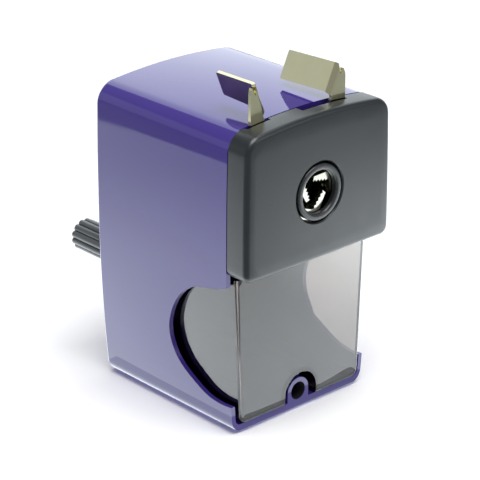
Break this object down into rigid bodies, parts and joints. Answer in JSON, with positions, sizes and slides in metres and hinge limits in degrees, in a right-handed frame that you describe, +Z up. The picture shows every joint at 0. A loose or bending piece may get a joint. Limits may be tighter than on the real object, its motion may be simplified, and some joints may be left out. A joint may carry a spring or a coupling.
{
  "type": "desk pencil sharpener",
  "caption": "Desk-top crank pencil sharpener with sliding spring-fed chuck, planetary helical cutter, finger levers and pull-out shavings drawer.",
  "frame": {"origin": "centre of the bounding box's bottom, on the table under the four feet", "axes": "+Z up, -Y is the front where the pencil goes in, +X is the right side seen from the front"},
  "size_m": [0.0678, 0.1046, 0.1253],
  "materials": {
    "violet_abs": "high-gloss injection-moulded ABS",
    "black_abs": "fine-textured moulded ABS",
    "bezel_abs": "polished moulded ABS",
    "smoke_styrene": "smoke-tinted clear styrene",
    "nickel_plate": "bright nickel plate on pressed steel",
    "steel": "machined or drawn steel",
    "die_cast": "as-cast zinc alloy",
    "acetal": "moulded acetal",
    "bronze": "sintered bronze",
    "rubber": "moulded rubber"
  },
  "bodies": {
    "housing": {"housing_shell": "violet_abs", "mechanism_frame": "black_abs", "ring_gear": "acetal", "rear_bearing_cap": "black_abs", "bearing_bush": "bronze", "frame_screw_left": "steel", "frame_screw_right": "steel", "cap_screw_left": "steel", "cap_screw_right": "steel", "feed_spring_left": "steel", "feed_spring_right": "steel", "foot_front_left": "rubber", "foot_front_right": "rubber", "foot_rear_left": "rubber", "foot_rear_right": "rubber"},
    "carriage": {"faceplate": "black_abs", "pencil_bezel": "bezel_abs", "fixed_lever": "nickel_plate", "lever_spring": "steel", "jaw_pin_1": "steel", "jaw_pin_2": "steel", "jaw_pin_3": "steel", "chuck_screw_1": "steel", "chuck_screw_2": "steel", "chuck_screw_3": "steel", "guide_rod_left": "steel", "guide_rod_right": "steel", "rod_clip_left": "steel", "rod_clip_right": "steel"},
    "lever": {"release_lever": "nickel_plate"},
    "chuck_jaw_1": {"jaw_1": "steel"},
    "chuck_jaw_2": {"jaw_2": "steel"},
    "chuck_jaw_3": {"jaw_3": "steel"},
    "crank": {"cutter_carrier": "die_cast", "cutter_axle": "steel", "crank_arm": "black_abs", "crank_nut": "nickel_plate", "knob_pin": "steel"},
    "cutter": {"helical_cutter": "steel", "cutter_pinion": "steel"},
    "crank_knob": {"knob": "black_abs"},
    "shavings_drawer": {"drawer": "smoke_styrene"}
  },
  "joints": [
    {"name": "carriage_slide", "type": "slide", "parent": "housing", "child": "carriage", "axis": [0, -1, 0], "range_m": [0, 0.034], "stiffness_N_per_m": 90, "springref_m": -0.01, "deforming": ["feed_spring_left", "feed_spring_right"]},
    {"name": "lever_swing", "type": "hinge", "parent": "carriage", "child": "lever", "pos_m": [0, -0.04515, 0.0849], "axis": [0, -1, 0], "range_deg": [0, 20], "stiffness_Nm_per_rad": 0.12, "springref_deg": -17.19, "deforming": ["lever_spring"]},
    {"name": "jaw_1_swing", "type": "hinge", "parent": "carriage", "child": "chuck_jaw_1", "pos_m": [0.01871, -0.04895, 0.0816], "axis": [0, -1, 0], "range_deg": [-20, 0]},
    {"name": "jaw_2_swing", "type": "hinge", "parent": "carriage", "child": "chuck_jaw_2", "pos_m": [-0.0065, -0.04895, 0.10275], "axis": [0, -1, 0], "range_deg": [-20, 0]},
    {"name": "jaw_3_swing", "type": "hinge", "parent": "carriage", "child": "chuck_jaw_3", "pos_m": [-0.01221, -0.04895, 0.07035], "axis": [0, -1, 0], "range_deg": [-20, 0]},
    {"name": "crank_spin", "type": "hinge", "parent": "housing", "child": "crank", "pos_m": [0, 0.02725, 0.0849], "axis": [0, 1, 0], "continuous": true},
    {"name": "cutter_spin", "type": "hinge", "parent": "crank", "child": "cutter", "pos_m": [0, -0.02585, 0.0954], "axis": [0, 0.9848, -0.1736], "continuous": true},
    {"name": "knob_spin", "type": "hinge", "parent": "crank", "child": "crank_knob", "pos_m": [-0.0189, 0.04225, 0.0427], "axis": [0, 1, 0], "continuous": true},
    {"name": "drawer_slide", "type": "slide", "parent": "housing", "child": "shavings_drawer", "axis": [0, -1, 0], "range_m": [0, 0.066]}
  ],
  "couplings": [
    {"joint": "jaw_1_swing", "follows": "lever_swing", "ratio": -0.97},
    {"joint": "jaw_2_swing", "follows": "lever_swing", "ratio": -0.97},
    {"joint": "jaw_3_swing", "follows": "lever_swing", "ratio": -0.97},
    {"joint": "cutter_spin", "follows": "crank_spin", "ratio": -3.3333}
  ]
}
